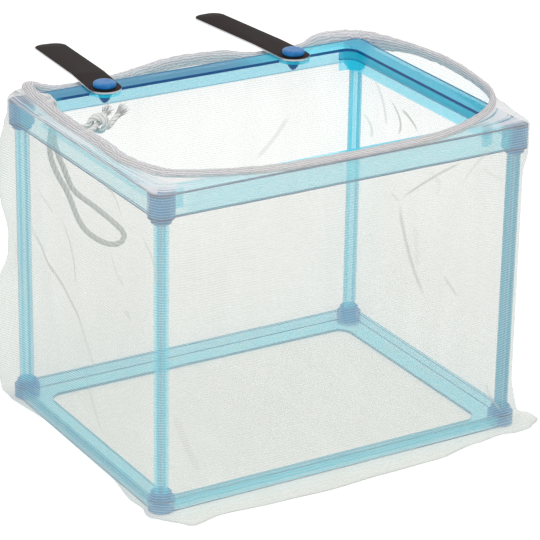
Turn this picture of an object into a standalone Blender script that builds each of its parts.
"""Fish breeding box: a net bag drawn over a push-fit frame of clear plastic.

The frame is a top ring, a base ring and four posts of plus section. The bag hangs
outside it, and its hem is a casing with a drawstring inside. Two flat steel strips
are pinned to the back rail with push rivets: each swivels on its rivet, and its
outer length bends down over the rim of a tank.

Units are metres and +Z is up. The origin is on the surface that the box stands on,
under the middle of the frame. +X runs along the front rail, +Y goes to the back.
"""
import math

import bmesh
import bpy
from mathutils import Matrix, Vector

# Frame
FRAME_LENGTH = 0.165
FRAME_DEPTH = 0.1235
FRAME_HEIGHT = 0.1297
FRAME_WALL = 0.0012
CLEARANCE = 0.0003
OVERRUN = 0.001
WELD_DISTANCE = 0.00001

# Top ring
TOP_RAIL_HEIGHT = 0.0094
TOP_FLANGE_DEPTH = 0.0094
TOP_OPENING_RADIUS = 0.005
SKIRT_HEIGHT = 0.0096
SKIRT_RUN = 0.0154
TOP_DRUM_RADIUS = 0.0052
TOP_COLLAR_DROP = 0.0022

# Base ring
BASE_RAIL_HEIGHT = 0.0051
BASE_FLANGE_DEPTH = 0.0102
BASE_OPENING_RADIUS = 0.0058
BASE_DRUM_RADIUS = 0.0052
BASE_COLLAR_RISE = 0.0026

# Corner drums and posts
DRUM_INSET = 0.0038
DRUM_STEP = 0.0003
COLLAR_WALL = 0.0008
POST_SPAN = 0.0058
POST_WEB = 0.0013

# Ears and push rivets
RIVET_SPACING = 0.0884
RIVET_INSET = 0.0089
EAR_RADIUS = 0.0068
RIVET_SHANK_RADIUS = 0.0027
RIVET_CAP_RADIUS = 0.0048
RIVET_CAP_HEIGHT = 0.0021
RIVET_TIP_LENGTH = 0.0042

# Hanger strips
STRIP_WIDTH = 0.0137
STRIP_THICKNESS = 0.0008
STRIP_REACH = 0.0705
STRIP_SEAT = 0.0195
STRIP_BEND = 0.0252
STRIP_END_RADIUS = 0.0052
STRIP_TURN_LEFT = math.radians(-7.2)
STRIP_TURN_RIGHT = math.radians(2.3)
STRIP_TILT_LEFT = math.radians(-3.7)
STRIP_TILT_RIGHT = math.radians(-1.7)
SHARP_ANGLE = math.radians(35)

# Net bag
NET_THICKNESS = 0.0004
NET_SHOULDER_DROP = 0.0075
NET_FLARE_RISE = 0.0026
NET_FLARE_SPREAD = 0.0125
NET_SLACK = 0.0018
NET_CORNER_SLACK = 0.0072
NET_FOLD_HEIGHT = 0.0013
NET_JOIN = 0.0004
NET_SEAM = 0.0005

# Hem and drawstring
HEM_RADIUS = 0.0020
HEM_BORE = 0.0015
HEM_PULL = 0.003
BUTTONHOLE_LENGTH = 0.0145
BUTTONHOLE_HEIGHT = 0.0048
BUTTONHOLE_INSET = 0.0005
BUTTONHOLE_MARGIN = 0.0012
CORD_DIAMETER = 0.0023
CORD_END_GAP = 0.0005

# Counts
ARC_STEPS = 6
ROUND_STEPS = 24
STATIONS_PER_HEM_MARK = 3
SHOULDER_ROWS = 4
FLOOR_STEPS = 96

# Places worked out from the sizes
BASE_Z = NET_THICKNESS + CLEARANCE
TOP_Z = BASE_Z + FRAME_HEIGHT
HALF_LENGTH = FRAME_LENGTH / 2
HALF_DEPTH = FRAME_DEPTH / 2
SOCKET_RADIUS = POST_SPAN / 2 + CLEARANCE
COLLAR_RADIUS = SOCKET_RADIUS + COLLAR_WALL
RIVET_Y = HALF_DEPTH - RIVET_INSET
RIVET_HOLE_RADIUS = RIVET_SHANK_RADIUS + CLEARANCE
STRIP_Z = TOP_Z + CLEARANCE
NET_OFFSET = BASE_DRUM_RADIUS - DRUM_INSET + CLEARANCE + NET_THICKNESS / 2
NET_CORNER_RADIUS = DRUM_INSET + NET_OFFSET
NET_FOOT_Z = NET_THICKNESS + CLEARANCE + NET_THICKNESS / 2
HEM_Z = TOP_Z + CLEARANCE + HEM_RADIUS

# The four sides of the bag in turn, seen from above: along, outward, length and depth.
FRONT, RIGHT, BACK, LEFT = range(4)
SIDES = (
    (Vector((1, 0, 0)), Vector((0, -1, 0)), FRAME_LENGTH, FRAME_DEPTH),
    (Vector((0, 1, 0)), Vector((1, 0, 0)), FRAME_DEPTH, FRAME_LENGTH),
    (Vector((-1, 0, 0)), Vector((0, 1, 0)), FRAME_LENGTH, FRAME_DEPTH),
    (Vector((0, -1, 0)), Vector((-1, 0, 0)), FRAME_DEPTH, FRAME_LENGTH),
)

# The hem's route. Each mark has its place along the side, then its place along X and along Y
# as shares of the frame's length and depth from its front left corner, then its lift above
# the top ring as a share of the hem's radius.
HEM_FRONT_SHARES = (
    (0.00, 0.073, 0.138, 0.0), (0.16, 0.164, 0.069, 0.0), (0.30, 0.300, 0.016, 0.0),
    (0.45, 0.450, 0.002, 0.0), (0.615, 0.615, 0.002, 0.0), (0.79, 0.775, 0.020, 0.0),
)
HEM_RIGHT_SHARES = (
    (0.00, 0.915, 0.088, 0.44), (0.19, 0.997, 0.200, 0.96), (0.375, 1.030, 0.375, 1.18),
    (0.57, 1.045, 0.570, 1.01), (0.78, 1.042, 0.780, 0.21),
)
HEM_BACK_SHARES = (
    (0.00, 1.027, 1.026, -1.34), (0.10, 0.915, 1.064, -0.83), (0.165, 0.840, 1.056, -2.50),
    (0.30, 0.703, 1.055, -2.50), (0.40, 0.606, 1.050, -0.88), (0.545, 0.460, 1.050, -0.65),
    (0.695, 0.306, 1.056, -2.44), (0.86, 0.152, 1.056, -2.50),
)
HEM_LEFT_SHARES = (
    (0.00, 0.062, 1.022, 0.20), (0.13, 0.046, 0.890, 0.0), (0.25, 0.037, 0.745, 0.0),
    (0.40, 0.034, 0.600, 0.0), (0.555, 0.037, 0.445, 0.0), (0.74, 0.036, 0.275, 0.0),
)
HEM_SHARES = (HEM_FRONT_SHARES, HEM_RIGHT_SHARES, HEM_BACK_SHARES, HEM_LEFT_SHARES)

# Where the two buttonholes are along the bag, counted in sides from the front left corner.
LOOP_HOLE_SHARE = 3.131
KNOT_HOLE_SHARE = 3.422

# Where the cord's free stretches start inside the hem, counted the same way.
LOOP_FAR_PLACE = 3.074
LOOP_NEAR_PLACE = 3.183
BACK_END_PLACE = 3.306
FRONT_END_PLACE = 3.532

# How far the net spreads over the surface, as shares of the flare, at places counted in
# sides from the front left corner.
FLARE_SHARES = (
    (0.00, 0.22), (0.05, 1.00), (0.13, 0.78), (0.28, 0.92), (0.42, 1.00), (0.56, 0.90),
    (0.72, 0.86), (0.86, 0.50), (0.94, 0.36), (0.985, 0.50), (1.00, 0.62), (1.02, 0.88),
    (1.05, 0.86), (1.085, 0.35), (1.14, 0.12), (1.35, 0.03), (1.70, 0.03), (2.00, 0.10),
    (2.30, 0.08), (2.70, 0.10), (3.00, 0.06), (3.20, 0.02), (3.70, 0.03), (3.86, 0.20),
    (3.94, 0.10), (4.00, 0.22),
)

# How slack each side of the bag is, as a share of the slack, and how the slack swells up a
# wall. The back left corner stands out furthest: how wide, and how far at each level.
SIDE_SLACK_SHARES = (0.55, 0.25, 0.90, 1.00)
SWELL_SHARE = 0.6
CORNER_WIDTH_SHARE = 0.10
CORNER_SWELL_SHARES = (
    (0.00, 0.05), (0.08, 0.80), (0.20, 1.00), (0.36, 0.95), (0.50, 0.15), (0.56, 0.10),
    (0.70, 0.55), (0.88, 0.55), (1.00, 0.30),
)

# The bag's main folds: side, place at the top, place at the foot, width and height shares.
FOLD_SHARES = (
    (FRONT, 0.80, 0.66, 0.030, 0.8), (FRONT, 0.93, 0.84, 0.025, 0.7), (FRONT, 0.20, 0.30, 0.035, 0.5),
    (RIGHT, 0.30, 0.44, 0.040, 0.5), (RIGHT, 0.66, 0.58, 0.035, 0.5),
    (BACK, 0.12, 0.24, 0.030, 1.0), (BACK, 0.25, 0.38, 0.030, 0.9), (BACK, 0.56, 0.50, 0.035, 0.7),
    (BACK, 0.86, 0.78, 0.030, 0.9),
    (LEFT, 0.10, 0.30, 0.035, 1.0), (LEFT, 0.22, 0.52, 0.040, 1.0), (LEFT, 0.45, 0.72, 0.040, 0.8),
)
ROW_SHARES = (0.0, 0.006, 0.016, 0.035, 0.08, 0.19, 0.34, 0.45, 0.55, 0.70, 0.86, 1.0)

# How far below the top ring the net leaves the wall for the hem, as shares of the drop.
SHOULDER_SHARES = (
    (0.00, 0.05), (1.12, 0.05), (1.32, 1.00), (2.90, 1.00), (3.00, 0.05), (4.00, 0.05),
)

# Where the net bends between its wall and the hem, as a share of the way.
SHOULDER_BEND_SHARE = 0.6

# Extra columns of the net at each end of a panel, where it turns round a corner drum.
CORNER_COLUMN_SHARES = (0.012, 0.030)

# The drawstring's free stretches, from inside the hem: chosen by hand, in metres.
LOOP_ROUTE = (
    (-0.0757, 0.0403, 0.1327), (-0.0754, 0.0420, 0.1327), (-0.0743, 0.0434, 0.1327),
    (-0.0726, 0.0445, 0.1327), (-0.0708, 0.0455, 0.1321), (-0.0697, 0.0467, 0.1298),
    (-0.0693, 0.0479, 0.1266), (-0.0694, 0.0487, 0.1232),
    (-0.0699, 0.0499, 0.1180), (-0.0702, 0.0505, 0.1128), (-0.0699, 0.0505, 0.1072),
    (-0.0686, 0.0499, 0.1022), (-0.0667, 0.0489, 0.0974), (-0.0645, 0.0475, 0.0926),
    (-0.0628, 0.0464, 0.0874), (-0.0612, 0.0453, 0.0818), (-0.0586, 0.0437, 0.0762),
    (-0.0545, 0.0419, 0.0720), (-0.0500, 0.0399, 0.0694), (-0.0462, 0.0385, 0.0692),
    (-0.0437, 0.0384, 0.0708), (-0.0434, 0.0390, 0.0734), (-0.0455, 0.0403, 0.0764),
    (-0.0492, 0.0423, 0.0804), (-0.0539, 0.0450, 0.0850), (-0.0582, 0.0474, 0.0888),
    (-0.0611, 0.0491, 0.0924), (-0.0627, 0.0499, 0.0966), (-0.0641, 0.0506, 0.1010),
    (-0.0658, 0.0515, 0.1062), (-0.0672, 0.0519, 0.1118), (-0.0678, 0.0513, 0.1178),
    (-0.0679, 0.0506, 0.1236), (-0.0681, 0.0504, 0.1276), (-0.0688, 0.0507, 0.1305),
    (-0.0704, 0.0512, 0.1324), (-0.0723, 0.0518, 0.1330), (-0.0739, 0.0528, 0.1331),
    (-0.0745, 0.0543, 0.1331), (-0.0745, 0.0560, 0.1331),
)
FRONT_END_ROUTE = (
    (-0.0764, -0.0037, 0.1327), (-0.0766, -0.0013, 0.1327), (-0.0767, 0.0010, 0.1327),
    (-0.0767, 0.0031, 0.1327),
    (-0.0761, 0.0050, 0.1327), (-0.0745, 0.0067, 0.1328), (-0.0722, 0.0085, 0.1328),
    (-0.0697, 0.0108, 0.1328), (-0.0666, 0.0139, 0.1328), (-0.0643, 0.0163, 0.1332),
    (-0.0627, 0.0185, 0.1338), (-0.0612, 0.0207, 0.1343),
)

# The back end is wound round the front end, which makes the knot.
KNOT_CENTRE = (-0.0697, 0.0108, 0.1328)
KNOT_TURNS = 1.5
KNOT_PITCH = 0.0029
KNOT_RADIUS = 0.0029
KNOT_POINTS_PER_TURN = 16
BACK_END_BEFORE_KNOT = (
    (-0.0767, 0.0236, 0.1327), (-0.0768, 0.0204, 0.1327), (-0.0768, 0.0174, 0.1327),
    (-0.0766, 0.0155, 0.1326), (-0.0757, 0.0140, 0.1323), (-0.0739, 0.0132, 0.1321),
)
BACK_END_AFTER_KNOT = (
    (-0.0640, 0.0119, 0.1309), (-0.0619, 0.0137, 0.1313), (-0.0589, 0.0159, 0.1327),
    (-0.0559, 0.0180, 0.1342),
)

PARTS_NAME = "fish_breeding_box"


def clear_scene():
    for obj in list(bpy.data.objects):
        bpy.data.objects.remove(obj, do_unlink=True)


def new_collection(name):
    collection = bpy.data.collections.new(name)
    bpy.context.scene.collection.children.link(collection)
    return collection


def plastic(name, colour, roughness, metallic=0.0, alpha=1.0):
    material = bpy.data.materials.new(name)
    material.use_nodes = True
    shader = material.node_tree.nodes["Principled BSDF"]
    shader.inputs["Base Color"].default_value = (*colour, 1.0)
    shader.inputs["Roughness"].default_value = roughness
    shader.inputs["Metallic"].default_value = metallic
    shader.inputs["Alpha"].default_value = alpha
    return material


def arc(centre, radius, start, end, steps=ARC_STEPS):
    """Points on an arc in the XY plane, from one angle to another."""
    points = []
    for i in range(steps + 1):
        angle = start + (end - start) * i / steps
        points.append((centre[0] + radius * math.cos(angle), centre[1] + radius * math.sin(angle)))
    return points


def circle(centre, radius, steps=ROUND_STEPS):
    return arc(centre, radius, 0.0, math.tau, steps)[:-1]


def rounded_rectangle(half_x, half_y, radius):
    """A rectangle about the origin with round corners, counter-clockwise."""
    points = []
    quarter = math.pi / 2
    for k, (sx, sy) in enumerate(((1, -1), (1, 1), (-1, 1), (-1, -1))):
        centre = (sx * (half_x - radius), sy * (half_y - radius))
        points += arc(centre, radius, (k - 1) * quarter, k * quarter)
    return points


def link(obj, collection, material=None):
    collection.objects.link(obj)
    if material:
        obj.data.materials.append(material)
    return obj


def curve_to_mesh(obj, name):
    """A mesh object in place of a curve object, with its caps welded on."""
    bpy.context.view_layer.update()
    evaluated = obj.evaluated_get(bpy.context.evaluated_depsgraph_get())
    mesh = bpy.data.meshes.new_from_object(evaluated)
    bm = bmesh.new()
    bm.from_mesh(mesh)
    bmesh.ops.remove_doubles(bm, verts=bm.verts, dist=WELD_DISTANCE)
    bmesh.ops.recalc_face_normals(bm, faces=bm.faces)
    bm.to_mesh(mesh)
    bm.free()
    mesh.name = name
    solid = bpy.data.objects.new(name, mesh)
    solid.matrix_world = obj.matrix_world.copy()
    bpy.data.objects.remove(obj, do_unlink=True)
    return solid


def plate(name, loops, low, high, collection, material=None):
    """Flat outlines filled in the XY plane and raised from low to high."""
    curve = bpy.data.curves.new(name + "_outline", "CURVE")
    curve.dimensions = "2D"
    curve.fill_mode = "BOTH"
    curve.extrude = (high - low) / 2
    for loop in loops:
        spline = curve.splines.new("POLY")
        spline.points.add(len(loop) - 1)
        for point, (x, y) in zip(spline.points, loop):
            point.co = (x, y, 0, 1)
        spline.use_cyclic_u = True
    guide = bpy.data.objects.new(name + "_outline", curve)
    guide.location.z = (low + high) / 2
    bpy.context.scene.collection.objects.link(guide)
    return link(curve_to_mesh(guide, name), collection, material)


def turned(name, profile, place, collection, material=None, steps=ROUND_STEPS):
    """A profile of radius and height, listed from top to bottom, turned about Z."""
    mesh = bpy.data.meshes.new(name)
    points = [(radius, 0, height) for radius, height in profile]
    mesh.from_pydata(points, [(i, i + 1) for i in range(len(points) - 1)], [])
    obj = bpy.data.objects.new(name, mesh)
    obj.location = place
    link(obj, collection, material)
    screw = obj.modifiers.new("turn", "SCREW")
    screw.steps = steps
    screw.render_steps = steps
    screw.use_merge_vertices = True
    screw.merge_threshold = WELD_DISTANCE
    return obj


def make_cutter(obj):
    obj.hide_render = True
    obj.display_type = "WIRE"
    return obj


def cylinder_cutter(name, radius, place, low, high, collection):
    mesh = bpy.data.meshes.new(name)
    bm = bmesh.new()
    bmesh.ops.create_cone(
        bm, cap_ends=True, segments=ROUND_STEPS, radius1=radius, radius2=radius, depth=high - low,
    )
    bm.to_mesh(mesh)
    bm.free()
    obj = bpy.data.objects.new(name, mesh)
    obj.location = (place[0], place[1], (low + high) / 2)
    collection.objects.link(obj)
    return make_cutter(obj)


def boolean(obj, operand, operation):
    modifier = obj.modifiers.new(operation.lower() + "_" + operand.name, "BOOLEAN")
    modifier.object = operand
    modifier.operation = operation
    modifier.solver = "EXACT"


def corner_places():
    """The middle of each corner drum, with its name."""
    x = HALF_LENGTH - DRUM_INSET
    y = HALF_DEPTH - DRUM_INSET
    return {
        "front_left": (-x, -y), "front_right": (x, -y),
        "back_left": (-x, y), "back_right": (x, y),
    }


def rivet_places():
    return {"left": (-RIVET_SPACING / 2, RIVET_Y), "right": (RIVET_SPACING / 2, RIVET_Y)}


def top_opening():
    """The outline of the top ring's opening, with the two ears standing into it."""
    half_x = HALF_LENGTH - TOP_FLANGE_DEPTH
    half_y = HALF_DEPTH - TOP_FLANGE_DEPTH
    radius = TOP_OPENING_RADIUS
    outline = rounded_rectangle(half_x, half_y, radius)
    start = len(outline) // 2
    back = []
    reach = half_y - RIVET_Y
    half_angle = math.acos(max(-1.0, min(1.0, reach / EAR_RADIUS)))
    for name in ("right", "left"):
        centre = rivet_places()[name]
        middle = -math.pi / 2
        spread = math.pi - half_angle
        ear = arc(centre, EAR_RADIUS, middle + spread, middle - spread, 2 * ARC_STEPS)
        back += ear
    return outline[:start] + back + outline[start:]


def top_frame(parts, cutters, material):
    """The top ring: flange, outer wall, end skirts, corner drums, ears and sockets."""
    bottom = TOP_Z - TOP_RAIL_HEIGHT
    outer = rounded_rectangle(HALF_LENGTH, HALF_DEPTH, DRUM_INSET)
    ring = plate("top_frame", [outer], bottom, TOP_Z, parts, material)
    pocket_outline = rounded_rectangle(
        HALF_LENGTH - FRAME_WALL, HALF_DEPTH - FRAME_WALL, DRUM_INSET - FRAME_WALL,
    )
    pocket = plate("top_pocket", [pocket_outline], bottom - OVERRUN, TOP_Z - FRAME_WALL, cutters)
    boolean(ring, make_cutter(pocket), "DIFFERENCE")
    for side, sign in (("left", -1), ("right", 1)):
        boolean(ring, make_cutter(end_skirt(side, sign, cutters)), "UNION")
    for name, place in corner_places().items():
        profile = (
            (0, TOP_Z - DRUM_STEP), (TOP_DRUM_RADIUS, TOP_Z - DRUM_STEP),
            (TOP_DRUM_RADIUS, bottom - DRUM_STEP), (COLLAR_RADIUS, bottom - DRUM_STEP),
            (COLLAR_RADIUS, bottom - TOP_COLLAR_DROP),
            (0, bottom - TOP_COLLAR_DROP),
        )
        drum = turned("top_drum_" + name, profile, (*place, 0), cutters)
        boolean(ring, make_cutter(drum), "UNION")
    low = TOP_Z - SKIRT_HEIGHT - OVERRUN
    opening = plate("top_opening", [top_opening()], low, TOP_Z + OVERRUN, cutters)
    boolean(ring, make_cutter(opening), "DIFFERENCE")
    for name, place in corner_places().items():
        low = bottom - TOP_COLLAR_DROP - OVERRUN
        bore = cylinder_cutter(
            "top_socket_" + name, SOCKET_RADIUS, place, low, TOP_Z - FRAME_WALL, cutters,
        )
        boolean(ring, bore, "DIFFERENCE")
    for name, place in rivet_places().items():
        low = TOP_Z - FRAME_WALL - OVERRUN
        hole = cylinder_cutter(
            "rivet_hole_" + name, RIVET_HOLE_RADIUS, place, low, TOP_Z + OVERRUN, cutters,
        )
        boolean(ring, hole, "DIFFERENCE")
    return ring


def end_skirt(side, sign, cutters):
    """The block that the opening is cut through to leave the skirt at one short end."""
    half_x = HALF_LENGTH - TOP_FLANGE_DEPTH + FRAME_WALL
    half_y = HALF_DEPTH - TOP_FLANGE_DEPTH + FRAME_WALL
    outline = rounded_rectangle(half_x, half_y, TOP_OPENING_RADIUS + FRAME_WALL)
    limit = HALF_LENGTH - SKIRT_RUN
    kept = [point for point in outline if sign * point[0] > limit]
    kept.sort(key=lambda point: math.atan2(point[1], sign * point[0]))
    ends = [(sign * limit, -half_y)] + kept + [(sign * limit, half_y)]
    if sign < 0:
        ends.reverse()
    low = TOP_Z - SKIRT_HEIGHT
    return plate("skirt_" + side, [ends], low, TOP_Z - FRAME_WALL / 2, cutters)


def base_frame(parts, cutters, material):
    """The base ring: flange, low outer wall, corner drums with collars, and sockets."""
    top = BASE_Z + BASE_RAIL_HEIGHT
    outer = rounded_rectangle(HALF_LENGTH, HALF_DEPTH, DRUM_INSET)
    ring = plate("base_frame", [outer], BASE_Z, top, parts, material)
    pocket_outline = rounded_rectangle(
        HALF_LENGTH - FRAME_WALL, HALF_DEPTH - FRAME_WALL, DRUM_INSET - FRAME_WALL,
    )
    pocket = plate("base_pocket", [pocket_outline], BASE_Z + FRAME_WALL, top + OVERRUN, cutters)
    boolean(ring, make_cutter(pocket), "DIFFERENCE")
    collar_top = top + BASE_COLLAR_RISE
    for name, place in corner_places().items():
        profile = (
            (0, collar_top), (COLLAR_RADIUS, collar_top), (COLLAR_RADIUS, top + DRUM_STEP),
            (BASE_DRUM_RADIUS, top + DRUM_STEP), (BASE_DRUM_RADIUS, BASE_Z + DRUM_STEP),
            (0, BASE_Z + DRUM_STEP),
        )
        drum = turned("base_drum_" + name, profile, (*place, 0), cutters)
        boolean(ring, make_cutter(drum), "UNION")
    opening_outline = rounded_rectangle(
        HALF_LENGTH - BASE_FLANGE_DEPTH, HALF_DEPTH - BASE_FLANGE_DEPTH, BASE_OPENING_RADIUS,
    )
    opening = plate("base_opening", [opening_outline], BASE_Z - OVERRUN, top + OVERRUN, cutters)
    boolean(ring, make_cutter(opening), "DIFFERENCE")
    for name, place in corner_places().items():
        bore = cylinder_cutter(
            "base_socket_" + name, SOCKET_RADIUS, place,
            BASE_Z + FRAME_WALL, collar_top + OVERRUN, cutters,
        )
        boolean(ring, bore, "DIFFERENCE")
    return ring


def corner_post(name, place, parts, material):
    """A post of plus section, from the floor of the base socket to the top socket's roof."""
    a = POST_SPAN / 2
    b = POST_WEB / 2
    outline = (
        (a, -b), (a, b), (b, b), (b, a), (-b, a), (-b, b),
        (-a, b), (-a, -b), (-b, -b), (-b, -a), (b, -a), (b, -b),
    )
    outline = [(place[0] + x, place[1] + y) for x, y in outline]
    low = BASE_Z + FRAME_WALL + CLEARANCE
    high = TOP_Z - FRAME_WALL - CLEARANCE
    return plate("post_" + name, [outline], low, high, parts, material)


def push_rivet(side, place, parts, material):
    """A domed cap over a shank that ends in a pointed tip below the ear."""
    under = STRIP_Z + STRIP_THICKNESS + CLEARANCE
    top = under + RIVET_CAP_HEIGHT
    shoulder = TOP_Z - FRAME_WALL - CLEARANCE
    cap = RIVET_CAP_RADIUS
    shank = RIVET_SHANK_RADIUS
    height = RIVET_CAP_HEIGHT
    length = RIVET_TIP_LENGTH
    cap_shares = ((0, 1), (0.70, 1), (0.88, 0.93), (0.97, 0.76), (1, 0.52), (0.99, 0.20), (0.93, 0))
    tip_shares = ((1, 0), (1.0, 0.22), (0.90, 0.42), (0.70, 0.64), (0.42, 0.86), (0.18, 0.97), (0, 1))
    profile = [(cap * r, under + height * h) for r, h in cap_shares]
    profile += [(shank, under)]
    profile += [(shank * r, shoulder - length * d) for r, d in tip_shares]
    profile = [(radius, z - top) for radius, z in profile]
    rivet = turned("rivet_" + side, profile, (*place, top), parts, material)
    return rivet


def strip_inner_length(side, place, turn, tilt, parts, material):
    """The strip from its round end to the line that it bends on, tilted where it meets the rim."""
    radius = STRIP_WIDTH / 2
    end = STRIP_BEND - CLEARANCE / 2
    outline = arc((0, 0), radius, -math.pi, 0, 2 * ARC_STEPS) + [(radius, end), (-radius, end)]
    hole = circle((0, 0), RIVET_HOLE_RADIUS)
    strip = plate("hanger_" + side, [outline, hole], 0, STRIP_THICKNESS, parts, material)
    lower_to_origin(strip)
    tilt_beyond_seat(strip.data, tilt)
    strip.matrix_world = strip_matrix(place, turn)
    return strip


def seat_tilt(tilt):
    """The turn of everything beyond the line where the strip meets the rim."""
    seat = Matrix.Translation((0, STRIP_SEAT, 0))
    return seat @ Matrix.Rotation(tilt, 4, "X") @ seat.inverted()


def tilt_beyond_seat(mesh, tilt):
    bm = bmesh.new()
    bm.from_mesh(mesh)
    everything = bm.verts[:] + bm.edges[:] + bm.faces[:]
    bmesh.ops.bisect_plane(
        bm, geom=everything, dist=WELD_DISTANCE, plane_co=(0, STRIP_SEAT, 0), plane_no=(0, 1, 0),
    )
    beyond = [vert for vert in bm.verts if vert.co.y > STRIP_SEAT + WELD_DISTANCE]
    bmesh.ops.transform(bm, matrix=seat_tilt(tilt), verts=beyond)
    bm.to_mesh(mesh)
    bm.free()


def strip_outer_length(side, place, turn, tilt, parts, material):
    """The strip beyond the bend, with its origin on the bend's axis under the strip."""
    radius = STRIP_WIDTH / 2
    corner = STRIP_END_RADIUS
    far = STRIP_REACH - STRIP_BEND
    near = CLEARANCE / 2
    quarter = math.pi / 2
    outline = [(-radius, near), (radius, near)]
    outline += arc((radius - corner, far - corner), corner, 0, quarter)
    outline += arc((corner - radius, far - corner), corner, quarter, math.pi)
    strip = plate("hanger_hook_" + side, [outline], 0, STRIP_THICKNESS, parts, material)
    lower_to_origin(strip)
    bend = seat_tilt(tilt) @ Matrix.Translation((0, STRIP_BEND, 0))
    strip.matrix_world = strip_matrix(place, turn) @ bend
    return strip


def lower_to_origin(obj):
    """Puts a plate's height into its mesh, so that its origin is on its underside."""
    obj.data.transform(obj.matrix_world)
    obj.matrix_world = Matrix.Identity(4)


def strip_matrix(place, turn):
    return Matrix.Translation((*place, STRIP_Z)) @ Matrix.Rotation(turn, 4, "Z")


def interpolate(table, place):
    """A value from a table of place and value, with smooth steps between its entries."""
    for (p0, v0), (p1, v1) in zip(table, table[1:]):
        if place <= p1:
            share = (place - p0) / (p1 - p0)
            share = share * share * (3 - 2 * share)
            return v0 + (v1 - v0) * share
    return table[-1][1]


def smooth_between(p0, p1, p2, p3, share):
    """A point on the smooth curve from p1 to p2."""
    a = 2 * p1
    b = p2 - p0
    c = 2 * p0 - 5 * p1 + 4 * p2 - p3
    d = 3 * p1 - p0 - 3 * p2 + p3
    return (a + b * share + c * share ** 2 + d * share ** 3) / 2


def hem_point(place):
    """The middle of the hem at a place counted in sides from the front left corner."""
    points = []
    marks = []
    for side, shares in enumerate(HEM_SHARES):
        for mark, x, y, lift in shares:
            marks.append(side + mark)
            points.append(Vector((
                FRAME_LENGTH * x - HALF_LENGTH, FRAME_DEPTH * y - HALF_DEPTH,
                HEM_Z + HEM_RADIUS * lift,
            )))
    place = place % len(HEM_SHARES)
    count = len(points)
    k = max(i for i in range(count) if marks[i] <= place)
    following = marks[k + 1] if k + 1 < count else len(HEM_SHARES)
    share = (place - marks[k]) / (following - marks[k])
    ring = [points[(k + step) % count] for step in (-1, 0, 1, 2)]
    return smooth_between(*ring, share)


def bag_plan(side, share):
    """The bag's outline seen from above: a point on it, and the way out from there."""
    along, outward, length, depth = SIDES[side]
    radius = NET_CORNER_RADIUS
    corner = radius * (1 - math.sqrt(0.5))
    full = length + 2 * NET_OFFSET
    travel = corner + (full - 2 * corner) * share
    middle = travel - full / 2
    inset = radius - min(travel, full - travel)
    if inset <= 0:
        return along * middle + outward * (depth / 2 + NET_OFFSET), outward.copy()
    sign = 1 if middle > 0 else -1
    rise = math.sqrt(max(0, radius ** 2 - inset ** 2))
    normal = (along * inset * sign + outward * rise) / radius
    centre = along * sign * (full / 2 - radius) + outward * (depth / 2 + NET_OFFSET - radius)
    return centre + normal * radius, normal


def bag_spread(side, share, height):
    """How far the net stands out from the frame's outline at a place and a height."""
    level = (height - NET_FOOT_Z) / (shoulder_height(side, share) - NET_FOOT_Z)
    swell = math.sin(math.pi * min(1, max(0, level))) ** SWELL_SHARE
    across = math.sin(math.pi * share)
    spread = NET_SLACK * SIDE_SLACK_SHARES[side] * across * swell
    around = side + share
    from_back_left = min(abs(around - 3), abs(around + 1))
    corner = math.exp(-(from_back_left / CORNER_WIDTH_SHARE) ** 2)
    spread += NET_CORNER_SLACK * corner * interpolate(CORNER_SWELL_SHARES, level)
    flare = NET_FLARE_SPREAD * interpolate(FLARE_SHARES, around)
    spread += flare * math.exp(-(height - NET_FOOT_Z) / NET_FLARE_RISE)
    for fold_side, top, foot, width, size in FOLD_SHARES:
        if fold_side == side:
            middle = foot + (top - foot) * level
            spread += NET_FOLD_HEIGHT * size * swell * math.exp(-((share - middle) / width) ** 2)
    return spread


def shoulder_height(side, share):
    """Where the net leaves the wall and turns towards the hem."""
    return TOP_Z - NET_SHOULDER_DROP * interpolate(SHOULDER_SHARES, side + share)


def hem_direction(place):
    step = BUTTONHOLE_MARGIN / FRAME_LENGTH
    return (hem_point(place + step) - hem_point(place - step)).normalized()


def net_shoulder(side, share, step):
    """The net between the top of its wall and the hem, from 0 at the wall to 1."""
    plan, normal = bag_plan(side, share)
    low = shoulder_height(side, share)
    start = plan + normal * bag_spread(side, share, low)
    start.z = low
    hem = hem_point(side + share)
    outside = (hem - plan).dot(normal)
    hanging = min(1, max(0, (outside + HEM_PULL) / (2 * HEM_PULL)))
    bend = plan + normal * max(0, outside) * SHOULDER_BEND_SHARE
    bend.z = hem.z + (low - hem.z) * hanging * SHOULDER_BEND_SHARE
    along = hem_direction(side + share)
    away = bend - hem
    away -= along * away.dot(along)
    end = hem + away.normalized() * (HEM_RADIUS + NET_SEAM + NET_THICKNESS / 2)
    return (1 - step) ** 2 * start + 2 * step * (1 - step) * bend + step ** 2 * end


def net_column(side, share):
    points = []
    for row in ROW_SHARES:
        height = NET_FOOT_Z + (shoulder_height(side, share) - NET_FOOT_Z) * row
        plan, normal = bag_plan(side, share)
        point = plan + normal * bag_spread(side, share, height)
        point.z = height
        points.append(point)
    for i in range(1, SHOULDER_ROWS + 1):
        points.append(net_shoulder(side, share, i / SHOULDER_ROWS))
    return points


def hem_stations(side):
    """Places along one side, as shares of it, where the hem and the net have their points."""
    count = STATIONS_PER_HEM_MARK * len(HEM_SHARES[side])
    return [i / count for i in range(count)]


def panel_columns(side):
    """Where a panel's columns stand: at the hem's stations, and closer at its ends."""
    shares = hem_stations(side) + [1.0] + list(CORNER_COLUMN_SHARES)
    shares += [1 - share for share in CORNER_COLUMN_SHARES]
    return sorted(shares)


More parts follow.
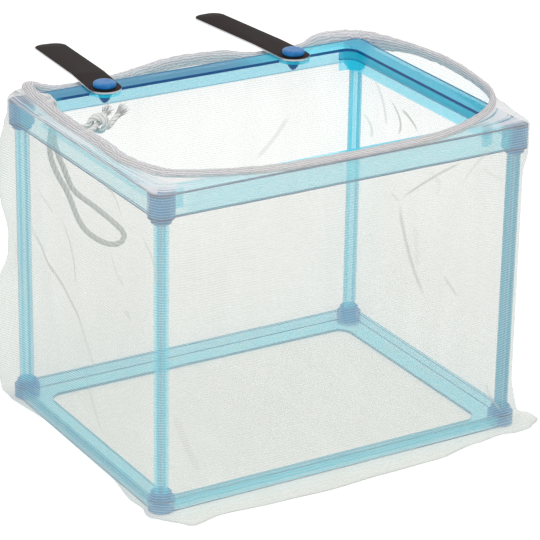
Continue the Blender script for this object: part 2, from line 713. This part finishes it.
def net_panel(name, side, parts, material):
    """One panel of the bag, from the surface up to the hem, as a sheet with thickness."""
    margin = NET_JOIN / SIDES[side][2]
    grid = [net_column(side, margin + (1 - 2 * margin) * share) for share in panel_columns(side)]
    columns = len(grid) - 1
    rows = len(grid[0])
    bm = bmesh.new()
    verts = [[bm.verts.new(point) for point in column] for column in grid]
    for j in range(columns):
        for i in range(rows - 1):
            bm.faces.new((verts[j][i], verts[j + 1][i], verts[j + 1][i + 1], verts[j][i + 1]))
    mesh = bpy.data.meshes.new(name)
    bm.to_mesh(mesh)
    bm.free()
    panel = link(bpy.data.objects.new(name, mesh), parts, material)
    solidify = panel.modifiers.new("thickness", "SOLIDIFY")
    solidify.thickness = NET_THICKNESS
    solidify.offset = 0
    return panel


def net_floor(parts, material):
    """The bag's floor, flat on the surface, out to where the walls start."""
    outline = []
    for i in range(FLOOR_STEPS):
        around = len(SIDES) * i / FLOOR_STEPS
        side = int(around)
        plan, normal = bag_plan(side, around - side)
        edge = plan + normal * (bag_spread(side, around - side, NET_FOOT_Z) + NET_THICKNESS)
        outline.append((edge.x, edge.y))
    return plate("net_floor", [outline], 0, NET_THICKNESS, parts, material)


def tube(name, points, radius, collection, material=None, closed=False, sides=2):
    """A round tube along a list of points, as a mesh with welded caps."""
    curve = bpy.data.curves.new(name + "_route", "CURVE")
    curve.dimensions = "3D"
    curve.bevel_depth = radius
    curve.bevel_resolution = sides
    curve.use_fill_caps = not closed
    spline = curve.splines.new("POLY")
    spline.points.add(len(points) - 1)
    for point, place in zip(spline.points, points):
        point.co = (*place, 1)
    spline.use_cyclic_u = closed
    guide = bpy.data.objects.new(name + "_route", curve)
    bpy.context.scene.collection.objects.link(guide)
    solid = link(curve_to_mesh(guide, name), collection, material)
    solid.data.shade_smooth()
    return solid


def hem_route():
    return [hem_point(side + share) for side in range(len(SIDES)) for share in hem_stations(side)]


def net_hem(parts, cutters, material):
    """The hem: a casing all round the bag, hollow, with two buttonholes on its inner side."""
    route = hem_route()
    hem = tube("net_hem", route, HEM_RADIUS, parts, material, closed=True)
    bore = tube("hem_bore", route, HEM_BORE, cutters, closed=True)
    boolean(hem, make_cutter(bore), "DIFFERENCE")
    for name, place in (("loop", LOOP_HOLE_SHARE), ("knot", KNOT_HOLE_SHARE)):
        centre = hem_point(place)
        half_length = BUTTONHOLE_LENGTH / 2
        near = centre.x - BUTTONHOLE_INSET
        far = centre.x + 2 * HEM_RADIUS
        outline = (
            (near, centre.y - half_length), (far, centre.y - half_length),
            (far, centre.y + half_length), (near, centre.y + half_length),
        )
        low = centre.z - BUTTONHOLE_HEIGHT / 2
        slot = plate("buttonhole_" + name, [outline], low, low + BUTTONHOLE_HEIGHT, cutters)
        boolean(hem, make_cutter(slot), "DIFFERENCE")
    return hem


def knot_route():
    """The back end's route: out of the hem, round the front end, and on beside it."""
    forward = Vector((1, 1, 0)).normalized()
    right = Vector((1, -1, 0)).normalized()
    up = Vector((0, 0, 1))
    turns = []
    count = round(KNOT_TURNS * KNOT_POINTS_PER_TURN)
    for i in range(count + 1):
        angle = math.pi - math.tau * KNOT_TURNS * i / count
        along = KNOT_PITCH * KNOT_TURNS * i / count
        round_cord = (right * math.cos(angle) + up * math.sin(angle)) * KNOT_RADIUS
        turns.append(Vector(KNOT_CENTRE) + forward * along + round_cord)
    return list(BACK_END_BEFORE_KNOT) + turns + list(BACK_END_AFTER_KNOT)


def least_gap(points, radius):
    """The least gap between a tube and itself, away from its own near neighbours."""
    lengths = [0.0]
    for a, b in zip(points, points[1:]):
        lengths.append(lengths[-1] + (Vector(b) - Vector(a)).length)
    gaps = []
    for i, a in enumerate(points):
        for j in range(i + 1, len(points)):
            if lengths[j] - lengths[i] > math.tau * radius:
                gaps.append((Vector(points[j]) - Vector(a)).length - 2 * radius)
    return min(gaps)


def drawstring(parts, material):
    """The drawstring: a slack loop, two knotted ends and two runs inside the hem."""
    radius = CORD_DIAMETER / 2
    tube("drawstring_loop", LOOP_ROUTE, radius, parts, material)
    tube("drawstring_front_end", FRONT_END_ROUTE, radius, parts, material)
    back_end = knot_route()
    tube("drawstring_knot", back_end, radius, parts, material)
    print("least gap of the wound end to itself, metres:", round(least_gap(back_end, radius), 6))
    runs = (
        ("long", FRONT_END_PLACE, LOOP_FAR_PLACE + len(SIDES)),
        ("short", LOOP_NEAR_PLACE, BACK_END_PLACE),
    )
    for name, start, end in runs:
        tube("drawstring_" + name + "_run", hem_run(start, end), radius, parts, material)


def hem_run(start, end):
    """The middle of the hem between two of the cord's ends, a little short of each."""
    gap = CORD_END_GAP / FRAME_DEPTH
    margin = BUTTONHOLE_MARGIN / FRAME_DEPTH
    sides = len(SIDES)
    places = [side + share for side in range(2 * sides) for share in hem_stations(side % sides)]
    places = [place for place in places if start + margin < place < end - margin]
    return [hem_point(place) for place in [start + gap] + places + [end - gap]]


def shade_round_pieces(parts):
    for obj in parts.objects:
        obj.data.shade_smooth()
        obj.data.set_sharp_from_angle(angle=SHARP_ANGLE)


def main():
    clear_scene()
    parts = new_collection(PARTS_NAME)
    cutters = new_collection("cutters")
    clear_blue = plastic("clear_blue_plastic", (0.28, 0.70, 0.82), 0.12)
    solid_blue = plastic("solid_blue_plastic", (0.04, 0.24, 0.55), 0.25)
    black_steel = plastic("black_painted_steel", (0.03, 0.026, 0.024), 0.4, metallic=0.3)
    net = plastic("white_net", (0.90, 0.90, 0.88), 0.8)
    hem_cloth = plastic("white_hem", (0.82, 0.81, 0.80), 0.85)
    cord = plastic("white_cord", (0.78, 0.78, 0.76), 0.85)

    top_frame(parts, cutters, clear_blue)
    base_frame(parts, cutters, clear_blue)
    for name, place in corner_places().items():
        corner_post(name, place, parts, clear_blue)
    turns = {"left": STRIP_TURN_LEFT, "right": STRIP_TURN_RIGHT}
    tilts = {"left": STRIP_TILT_LEFT, "right": STRIP_TILT_RIGHT}
    for side, place in rivet_places().items():
        push_rivet(side, place, parts, solid_blue)
        strip_inner_length(side, place, turns[side], tilts[side], parts, black_steel)
        strip_outer_length(side, place, turns[side], tilts[side], parts, black_steel)
    for name, side in (("front", FRONT), ("right", RIGHT), ("back", BACK), ("left", LEFT)):
        net_panel("net_" + name, side, parts, net)
    net_floor(parts, net)
    net_hem(parts, cutters, hem_cloth)
    drawstring(parts, cord)
    shade_round_pieces(parts)


main()
